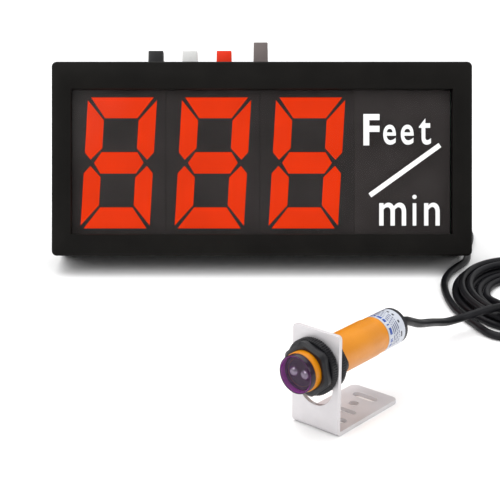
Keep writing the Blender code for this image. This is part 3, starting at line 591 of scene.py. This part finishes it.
lead_start = SENSOR @ Vector((0, 0, LEAD_EXIT))
whole_route = [lead_start, *LEAD_ROUTE, *THROUGH_THE_HOLE, *coil, *reversed(TAIL_ROUTE)]
lead_line, lead_length = smooth_points(whole_route, LEAD_SPACING)
print(f"the lead is {lead_length:.2f} m long")

# %% The lead's jacket
start()
line = bpy.data.curves.new("lead", "CURVE")
line.dimensions = "3D"
line.bevel_depth = LEAD / 2
line.bevel_resolution = 4
line.use_fill_caps = True
spline = line.splines.new("POLY")
spline.points.add(len(lead_line) - 1)
for target, point in zip(spline.points, lead_line):
    target.co = (*point, 1)
lead = bpy.data.objects.new("lead", line)
scene.collection.objects.link(lead)
take(lead)
bpy.ops.object.convert(target="MESH")
bpy.ops.object.shade_smooth_by_angle(angle=math.radians(60))
lead.data.materials.clear()
lead.data.materials.append(lead_jacket)
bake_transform(lead)
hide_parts("lead_from_sensor", "lead_coil", "lead_to_display")
print("lead:", len(lead.data.polygons), "faces")

# %% [markdown]
# ## The display's case
# The case is a moulded tray: rounded corners, a small radius round its front edge, an opening for
# the window and four square holes for the buttons. It starts as a block. The four long edges and
# the front edge are bevelled by hand, and then the hollow, the opening and the holes are cut out,
# as a toolmaker would cut the mould. The opening's rim gets a small bevel, which catches light.

# %% Front case
WALL, SHELL_DEPTH = 0.0025, 0.0361
CORNER_RADIUS, FRONT_RADIUS, RIM_BEVEL = 0.003, 0.0012, 0.0006
OPENING = (0.1105, 0.0126, 0.0966)
BUTTON_Y, HOLE_REACH = 0.0190, 0.0051
BUTTONS = {"black": -0.0625, "white": -0.0424, "red": -0.0222, "power": -0.0006}
half = CASE_WIDTH / 2


def on_rim(a, b):
    """True for an edge of the window opening on the front face."""
    middle = (a + b) / 2
    beside = abs(abs(middle.x) - OPENING[0]) < 1e-5 and OPENING[1] <= middle.z <= OPENING[2]
    along = min(abs(middle.z - OPENING[1]), abs(middle.z - OPENING[2])) < 1e-5
    along = along and abs(a.z - b.z) < 1e-5 and abs(middle.x) < OPENING[0]
    return max(abs(a.y), abs(b.y)) < 1e-5 and (beside or along)


case = block("case_shell", (-half, 0, 0), (half, SHELL_DEPTH, CASE_HEIGHT))
pick_edges(case, lambda a, b: abs(a.y - b.y) > 0.01)
bpy.ops.mesh.bevel(offset=CORNER_RADIUS, segments=8, affect="EDGES")
pick_edges(case, lambda a, b: a.y < 1e-6 and b.y < 1e-6)
bpy.ops.mesh.bevel(offset=FRONT_RADIUS, segments=4, affect="EDGES")
done()
hollow = block("hollow", (WALL - half, WALL, WALL), (half - WALL, 0.05, CASE_HEIGHT - WALL))
carved(case, hollow)
carved(case, block("opening", (-OPENING[0], -0.01, OPENING[1]), (OPENING[0], 0.01, OPENING[2])))
pick_edges(case, on_rim)
bpy.ops.mesh.bevel(offset=RIM_BEVEL, segments=2, affect="EDGES")
done()
for x in BUTTONS.values():
    carved(case, block("hole", (x - HOLE_REACH, BUTTON_Y - HOLE_REACH, 0.1),
                       (x + HOLE_REACH, BUTTON_Y + HOLE_REACH, 0.12)))
in_place(case, DISPLAY, "base", case_black, ["front_case"])

# %% [markdown]
# The key caps are small moulded blocks with a slight draught: each is narrower at the top, with
# soft edges and a shallow dish where the finger rests. The power key is the tall one. The other
# three share one shape, so it is modelled once and copied.

# %% Key caps
TRAVEL, POWER_TRAVEL, SWITCH_LEVEL = 0.002, 0.003, 0.1012 - CASE_HEIGHT
STEM_REACH, DRAUGHT, DISH_RIM, DISH_DEPTH = 0.0021, 0.95, 0.0011, 0.0003


def key_cap(side, low, top, travel):
    """A cap with its middle at the origin and the case's top at height zero."""
    reach = side / 2
    key = block("key", (-reach, -reach, low), (reach, reach, top))
    pick_faces(key, lambda centre, normal: normal.z > 0.9)
    bpy.ops.transform.resize(value=(DRAUGHT, DRAUGHT, 1), center_override=(0, 0, top))
    bpy.ops.mesh.inset(thickness=DISH_RIM)
    bpy.ops.transform.translate(value=(0, 0, -DISH_DEPTH))
    done()
    softened(key, 0.0006, 3)
    stem = block("stem", (-STEM_REACH, -STEM_REACH, SWITCH_LEVEL + travel),
                 (STEM_REACH, STEM_REACH, low + 0.001))
    return welded(key, stem)


small_key = key_cap(0.0092, -0.0007, 0.0086, TRAVEL)
KEYS = {
    "black": (small_key, key_black, "cap_black"),
    "white": (copy_of(small_key, "key"), key_white, "cap_white"),
    "red": (copy_of(small_key, "key"), key_red, "cap_red"),
    "power": (key_cap(0.0087, 0.0003, 0.0136, POWER_TRAVEL), key_grey, "cap_grey"),
}
for colour, (key, look, slot) in KEYS.items():
    key.name = f"key_{colour}"
    moved(key, (BUTTONS[colour], BUTTON_Y, CASE_HEIGHT))
    in_place(key, DISPLAY, f"button_{colour}", look, [f"button_{colour}"])

# %% [markdown]
# ## Window and unit label
# The window is a smoked acrylic sheet with a raised pad that fills the opening. Behind it, a dark
# blank panel fills the space beside the digits, and thin foam seals close the gaps between the
# modules, so that no light leaks out between them. The label on the window is screen printed: a
# film of white ink about a tenth of a millimetre thick. Each letter is made as text, turned into
# a mesh and fitted to its place, and the two words are plain generic units.

# %% Window
pad = block("window_pane", (-0.1101, 0.001, 0.013), (0.1101, 0.0045, 0.0962))
softened(pad, 0.0003, 2)
flange = block("flange", (-0.113, 0.0039, 0.0101), (0.113, 0.0059, 0.0991))
welded(pad, flange)
in_place(pad, DISPLAY, "base", smoked_window, ["window"])
blank = block("blank_panel", (0.0540, 0.0066, 0.0113), (0.1100, 0.0078, 0.0973))
softened(blank, 0.0002, 1)
in_place(blank, DISPLAY, "base", panel_grey)

# %% Light seals between the modules
MODULE_EDGES, SEAL_REACH = (-0.0561, -0.0011, 0.0538), 0.00027
for number, x in enumerate(MODULE_EDGES, 1):
    seal = block(f"light_seal_{number}", (x - SEAL_REACH, 0.0065, 0.0120),
                 (x + SEAL_REACH, 0.0075, 0.0968))
    softened(seal, 0.00005, 1)
    in_place(seal, DISPLAY, "base", module_grey)

# %% Unit label
PRINT_FRONT, PRINT_BACK = 0.00086, 0.00098


def printed(name, piece, left, right, bottom, top):
    """Fits a flat mesh drawn in X and Y to its place on the window."""
    points = [vertex.co for vertex in piece.data.vertices]
    low = [min(point[i] for point in points) for i in range(3)]
    high = [max(point[i] for point in points) for i in range(3)]
    for point in points:
        x = left + (right - left) * (point.x - low[0]) / (high[0] - low[0])
        z = bottom + (top - bottom) * (point.y - low[1]) / (high[1] - low[1])
        front = point.z > (low[2] + high[2]) / 2
        point.xyz = (x, PRINT_FRONT if front else PRINT_BACK, z)
    piece.name = name
    return in_place(piece, DISPLAY, "base", white_ink)


def letter(character, weight):
    start()
    bpy.ops.object.text_add()
    text = bpy.context.object
    text.data.body = character
    text.data.offset = weight
    text.data.extrude = 0.01
    text.data.resolution_u = 8
    bpy.ops.object.convert(target="MESH")
    return bpy.context.object


def stroke(corners):
    """A flat polygon with some thickness."""
    start()
    bpy.ops.mesh.primitive_circle_add(vertices=len(corners), radius=1, fill_type="NGON")
    piece = bpy.context.object
    for vertex, corner in zip(piece.data.vertices, corners):
        vertex.co = (*corner, 0)
    bpy.ops.object.mode_set(mode="EDIT")
    bpy.ops.mesh.select_all(action="SELECT")
    bpy.ops.mesh.extrude_region_move(TRANSFORM_OT_translate={"value": (0, 0, 0.01)})
    bpy.ops.mesh.select_all(action="SELECT")
    bpy.ops.mesh.normals_make_consistent(inside=False)
    done()
    return piece


LETTERS = {
    "F": (0.028, [(0.0588, 0.0682, 0.0640, 0.0822)]),
    "e": (0.012, [(0.0703, 0.0777, 0.0644, 0.0760), (0.0805, 0.0880, 0.0644, 0.0760)]),
    "t": (0.012, [(0.0910, 0.0980, 0.0644, 0.0797)]),
    "m": (0.010, [(0.0680, 0.0836, 0.0175, 0.0308)]),
    "n": (0.010, [(0.0940, 0.1031, 0.0175, 0.0308)]),
}
for character, (weight, places) in LETTERS.items():
    first = letter(character, weight)
    for number, place in enumerate(places, 1):
        printed(f"label_{character}_{number}", copy_of(first, character), *place)
    bpy.data.objects.remove(first)
printed("label_i_stem", stroke([(0, 0), (1, 0), (1, 1), (0, 1)]), 0.0874, 0.0895, 0.0175, 0.0305)
dot = [(math.cos(math.tau * i / 24), math.sin(math.tau * i / 24)) for i in range(24)]
printed("label_i_dot", stroke(dot), 0.0872, 0.0897, 0.0329, 0.0354)
left, right, bottom, top = 0.0618, 0.1040, 0.0338, 0.0654
across, along = 0.0016, 0.0024
slash = [(left, bottom + along), (left + across, bottom),
         (right, top - along), (right - across, top)]
printed("label_slash", stroke(slash), left, right, bottom, top)

# %% [markdown]
# ## Digits
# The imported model's digit housings and light guides already have the right shape, so they stay
# and only get their finishes. The same goes for the rear cover, the prop and the cable gland, and
# for the boards, switches and brass standoffs that show through the vents. The cover's screws are
# made anew, with a cross slot: one is modelled, and the four are copies of it.

# %% Finishes for the pieces that stay
def repaint(look, *names):
    for name in names:
        node = frame["nodes"][name]
        node.data.materials.clear()
        node.data.materials.append(look)


for number in (1, 2, 3):
    repaint(module_grey, f"digit_housing_{number}")
    repaint(lit_bars, f"digit_diffuser_{number}")
repaint(board_green, "display_board", "main_board", "button_board", "sensor_board")
repaint(turned_brass, *[f"standoff_{number}" for number in (1, 2, 3, 4)])
repaint(inner_black, *[f"switch_body_{colour}" for colour in BUTTONS], "optics_holder", "dc_inlet")
repaint(soft_rubber, "window_gasket", "stand_foot")
repaint(case_black, "rear_cover", "stand_leg")
repaint(pin_steel, "stand_pin")
repaint(nut_black, "gland_body", "gland_locknut", "gland_cap", "rear_cap")
repaint(epoxy_red, "indicator_led")
repaint(turned_brass, "adjusting_screw")
print("finishes made:", len(bpy.data.materials))

# %% Cover screws
boss_x, boss_z = CASE_WIDTH / 2 - WALL - 0.0035, WALL + 0.0035
corners = [(side * boss_x, level) for side in (-1, 1) for level in (boss_z, CASE_HEIGHT - boss_z)]
SHANK, HEAD, SEAT = 0.00145, 0.0028, CASE_DEPTH + 0.0003
first_screw = turned("screw", [(SHANK, 0.018), (SHANK, SEAT), (HEAD, SEAT),
                               (HEAD, SEAT + 0.0008), (0.0023, SEAT + 0.0016),
                               (0.0012, SEAT + 0.0021)], 32)
for long, wide in ((0.0016, 0.00035), (0.00035, 0.0016)):
    carved(first_screw, block("slot", (-long, -wide, SEAT + 0.0009), (long, wide, SEAT + 0.003)))
for number, (x, z) in enumerate(corners, 1):
    screw = copy_of(first_screw, f"case_screw_{number}")
    placing = DISPLAY @ Matrix.Translation((x, 0, z)) @ BEHIND_PANEL
    in_place(screw, placing, "base", screw_steel, [f"cover_screw_{number}"])
bpy.data.objects.remove(first_screw)

# %% [markdown]
# ## The bracket
# The bracket is one strip of sheet, slotted, folded to a right angle and tumbled, so its edges are
# a little round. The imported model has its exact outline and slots. A copy of that mesh is merged,
# its flat faces are joined again, and a fine bevel runs round every edge.

# %% Bracket
EDGE_ROUND, SAME_POINT = 0.00028, 1e-6
bracket = copy_of(frame["nodes"]["sensor_bracket"], "bracket_sheet")
take(bracket)
bpy.ops.object.mode_set(mode="EDIT")
bpy.ops.mesh.select_all(action="SELECT")
bpy.ops.mesh.remove_doubles(threshold=SAME_POINT)
bpy.ops.mesh.dissolve_limited(angle_limit=math.radians(1))
done()
softened(bracket, EDGE_ROUND, 2, 40)
in_place(bracket, Matrix.Identity(4), "base", sheet_steel, ["sensor_bracket"], 20)

# %% [markdown]
# ## The sensor
# The sensor is a round barrel. Every piece of it is turned about one axis, so each is extruded
# from a single circle through a short list of radii. Each of the two nuts is a finely ribbed
# collar and a hexagon, made as two closed pieces that turn together.

# %% Barrel
BARREL_FRONT, THREAD_END, LABEL_START, BARREL_END = -0.0106, 0.0380, 0.0433, 0.0560
BORE, THREAD, SMOOTH, UNDER_LABEL, LABEL_GAP = 0.0073, 0.0090, 0.0087, 0.0081, 0.0003
barrel = turned("barrel", [(BORE, BARREL_FRONT), (THREAD - 0.0004, BARREL_FRONT),
                           (THREAD, BARREL_FRONT + 0.0004), (THREAD, THREAD_END),
                           (SMOOTH, THREAD_END + 0.0006), (SMOOTH, LABEL_START - LABEL_GAP),
                           (UNDER_LABEL, LABEL_START - LABEL_GAP), (UNDER_LABEL, BARREL_END),
                           (BORE, BARREL_END)], 128, hollow=True)
in_place(barrel, SENSOR, "sensor", barrel_orange, ["sensor_barrel"])

# %% Nuts
RIBS, GROOVE, NUT_ACROSS, NUT_BORE = 72, 0.965, 0.0225, 0.0093


def clamp_nut(name, length, body, spin, placing):
    """A ribbed collar with its foot at height zero, and a hexagon with soft corners above it."""
    collar = turned(f"{name}_collar", [(NUT_BORE, 0.0), (0.0125, 0.0), (0.0130, 0.0005),
                                       (0.0130, 0.0031), (0.0125, 0.0036), (NUT_BORE, 0.0036)],
                    RIBS * 4, hollow=True)

    def in_groove(point):
        number = math.atan2(point.y, point.x) / math.tau * RIBS * 2
        return point.xy.length > 0.0120 and math.floor(number + 0.01) % 2 == 0

    pick_points(collar, in_groove)
    bpy.ops.transform.resize(value=(GROOVE, GROOVE, 1), center_override=(0, 0, 0))
    done()
    corner = NUT_ACROSS / math.sqrt(3)
    hexagon = turned(f"{name}_hexagon", [(corner * 0.97, 0.0035), (corner, 0.0039),
                                         (corner, length - 0.0012), (corner * 0.90, length)],
                     6, first_angle=spin)
    pick_edges(hexagon, lambda a, b: abs(a.z - b.z) > 0.0003)
    bpy.ops.mesh.bevel(offset=0.0020, segments=5, affect="EDGES")
    done()
    carved(hexagon, turned("bore", [(NUT_BORE, 0.0), (NUT_BORE, length + 0.001)], 96))
    in_place(collar, placing, body, nut_black, [body], 25)
    in_place(hexagon, placing, body, nut_black, angle=25)


AT_FRONT = Matrix.Translation((0, 0, -0.0003)) @ Matrix.Rotation(math.pi, 4, "Y")
AT_REAR = Matrix.Translation((0, 0, 0.0023))
clamp_nut("front_clamp", 0.0072, "front_nut", math.radians(12), SENSOR @ AT_FRONT)
clamp_nut("rear_clamp", 0.0065, "rear_nut", math.radians(25), SENSOR @ AT_REAR)

# %% [markdown]
# The front of the sensor is closed by a cap of purple plastic, which passes infrared light. It is
# a shallow cup over a dark insert. Light enters through its face and makes the inside of its wall
# glow magenta; that glow is painted on, as a bright magenta liner inside the wall. The two
# lenses stand on the insert under the face and catch the lamps.

# %% Lens cap
CUP_BACK, CUP_FRONT, INSERT_FRONT = BARREL_FRONT - 0.0003, -0.0140, -0.0113
wall = turned("lens_cup", [(0.0084, CUP_BACK), (0.0087, CUP_BACK), (0.0087, CUP_FRONT + 0.0004),
                           (0.0086, CUP_FRONT + 0.0002), (0.0084, CUP_FRONT + 0.0002)],
              96, hollow=True)
in_place(wall, SENSOR, "sensor", cup_purple, ["lens_cap"])
# Painted glow: this liner is coloured bright magenta to stand in for light scattered inside the
# cap's wall.
glow_sheet = turned("lens_painted_glow", [(0.0080, CUP_BACK), (0.0083, CUP_BACK), (0.0083, CUP_FRONT + 0.0005),
                              (0.0080, CUP_FRONT + 0.0005)], 96, hollow=True)
in_place(glow_sheet, SENSOR, "sensor", cup_painted_glow)
face = turned("lens_face", [(0.0083, CUP_FRONT + 0.0004), (0.0083, CUP_FRONT + 0.0001),
                            (0.0081, CUP_FRONT)], 96)
in_place(face, SENSOR, "sensor", lens_filter)
insert = turned("lens_insert", [(0.0063, INSERT_FRONT), (0.0076, INSERT_FRONT),
                                (0.0079, INSERT_FRONT + 0.0002), (0.0079, CUP_BACK),
                                (0.0063, CUP_BACK)], 96, hollow=True)
in_place(insert, SENSOR, "sensor", lens_dark)
DOME, DOME_RISE, DOME_FOOT, DOME_EDGE, LENS_OFFSET = 0.0024, 0.0016, -0.0098, -0.0108, 0.0031
steps = [math.radians(angle) for angle in (0, 15, 30, 45, 60, 72, 84)]
dome = [(DOME * math.cos(angle), DOME_EDGE - DOME_RISE * math.sin(angle)) for angle in steps]
emitter = turned("emitter_lens", [(DOME, DOME_FOOT), *dome], 40)
receiver = copy_of(emitter, "receiver_lens")
for lens, side, node in ((emitter, -1, "emitter_led"), (receiver, 1, "receiver_diode")):
    moved(lens, (side * LENS_OFFSET, 0, 0))
    in_place(lens, SENSOR, "sensor", dome_coating, [node], 60)

# %% [markdown]
# A printed film is wrapped round the rear of the barrel under a clear sleeve. The print is made
# generic: a broken blue band and rows of thin grey dashes, as unreadable small print looks. It
# follows the surface, so the sleeve gets its own UV map: once round it in U, along it in V.

# %% Label film
def wrap_map(piece):
    """A UV map once round the Z axis, made before the piece is put in place."""
    layer = piece.data.uv_layers.active or piece.data.uv_layers.new(name="wrap")
    for face in piece.data.polygons:
        turns = []
        for index in face.loop_indices:
            point = piece.data.vertices[piece.data.loops[index].vertex_index].co
            turns.append(math.atan2(point.y, point.x) / math.tau + 0.5)
        crosses = max(turns) - min(turns) > 0.5
        for index, turn in zip(face.loop_indices, turns):
            point = piece.data.vertices[piece.data.loops[index].vertex_index].co
            layer.data[index].uv = (turn + 1 if crosses and turn < 0.5 else turn, point.z)


def label_finish():
    made, links, shader = new_finish("label_film")
    nodes = made.node_tree.nodes
    paper = tones(made, noise_field(made, 80, 3),
                  [(0.35, (0.48, 0.51, 0.57)), (0.65, (0.56, 0.59, 0.66))])
    around = nodes.new("ShaderNodeUVMap")
    split = nodes.new("ShaderNodeSeparateXYZ")
    links.new(around.outputs["UV"], split.inputs["Vector"])

    def maths(operation, first, second):
        node = nodes.new("ShaderNodeMath")
        node.operation = operation
        for socket, value in zip(node.inputs, (first, second)):
            if isinstance(value, (int, float)):
                socket.default_value = value
            else:
                links.new(value, socket)
        return node.outputs["Value"]

    def row(middle, half_width, dashes, share, seed):
        """A ring of dashes: 1 on them, 0 beside them."""
        off = maths("ABSOLUTE", maths("SUBTRACT", split.outputs["Y"], middle), 0)
        inside = maths("LESS_THAN", off, half_width)
        cell = nodes.new("ShaderNodeTexWhiteNoise")
        cell.noise_dimensions = "1D"
        step = maths("FLOOR", maths("MULTIPLY", split.outputs["X"], dashes), 0)
        links.new(maths("ADD", step, seed), cell.inputs["W"])
        return maths("MULTIPLY", inside, maths("LESS_THAN", cell.outputs["Value"], share))

    def over(under, mask, colour):
        mix = nodes.new("ShaderNodeMix")
        mix.data_type = "RGBA"
        links.new(mask, mix.inputs["Factor"])
        links.new(under, mix.inputs["A"])
        mix.inputs["B"].default_value = (*colour, 1)
        return mix.outputs["Result"]

    colour = over(paper, row(0.0453, 0.00085, 84, 0.66, 3), (0.020, 0.060, 0.30))
    for number, middle in enumerate((0.0473, 0.0486, 0.0499, 0.0512)):
        colour = over(colour, row(middle, 0.00032, 110, 0.62, 20 + number), (0.10, 0.11, 0.20))
    colour = over(colour, row(0.0530, 0.00055, 40, 0.30, 71), (0.03, 0.03, 0.05))
    links.new(colour, shader.inputs["Base Color"])
    links.new(spread(made, noise_field(made, 130, 4), 0.18, 0.30), shader.inputs["Roughness"])
    shader.inputs["Coat Weight"].default_value = 0.4
    relief(made, shader, noise_field(made, 400, 2), 0.00003)
    return made


film = turned("label_film", [(SMOOTH - LABEL_GAP, LABEL_START), (SMOOTH, LABEL_START),
                             (SMOOTH, BARREL_END), (SMOOTH - LABEL_GAP, BARREL_END)],
              128, hollow=True)
wrap_map(film)
in_place(film, SENSOR, "sensor", label_finish(), ["label_sleeve"])

# %% Strain relief
boot = turned("lead_boot", [(0.0041, 0.0588), (0.0042, 0.0590), (0.0042, 0.0602), (0.0038, 0.0616),
                            (0.0031, 0.0636), (0.0026, LEAD_EXIT), (0.0024, 0.0655)], 48)
in_place(boot, SENSOR, "sensor", lead_jacket, ["strain_relief"], 50)

# %% [markdown]
# ## Floor and light
# A pale floor runs far behind the set. Large soft lamps above and in front of it light the table
# almost white, and the surroundings stay dimmer, so that the black case doesn't turn grey.

# %% Floor
start()
bpy.ops.mesh.primitive_plane_add(size=8, location=(0, 1.5, 0))
floor = bpy.context.object
floor.name = "floor"
bpy.ops.object.mode_set(mode="EDIT")
bpy.ops.mesh.subdivide(number_cuts=3)
done()
pale_floor, links, shader = new_finish("pale_floor")
whites = [(0.3, (0.90, 0.90, 0.90)), (0.7, (0.93, 0.93, 0.93))]
links.new(tones(pale_floor, noise_field(pale_floor, 3, 3), whites), shader.inputs["Base Color"])
shader.inputs["Roughness"].default_value = 0.8
shader.inputs["Specular IOR Level"].default_value = 0.1
floor.data.materials.append(pale_floor)
print("floor:", len(floor.data.polygons), "faces")

# %% Lamps
def soft_lamp(name, place, aim, size, power):
    start()
    bpy.ops.object.light_add(type="AREA", location=place)
    lamp = bpy.context.object
    lamp.name = name
    lamp.data.size = size
    lamp.data.energy = power
    lamp.rotation_euler = (Vector(aim) - Vector(place)).to_track_quat("-Z", "Y").to_euler()


soft_lamp("overhead", (-0.2, 0.3, 1.5), (0, 0.1, 0), 2.2, 30)
soft_lamp("front_left", (-1.1, -1.0, 1.0), (0, 0, 0.04), 0.8, 9)
soft_lamp("front_right", (1.2, -0.8, 0.8), (0.05, 0, 0.03), 0.7, 4)
world = bpy.data.worlds.new("studio")
world.use_nodes = True
world.node_tree.nodes["Background"].inputs["Color"].default_value = (1, 1, 1, 1)
world.node_tree.nodes["Background"].inputs["Strength"].default_value = 0.62
scene.world = world
scene.view_settings.view_transform = "Standard"
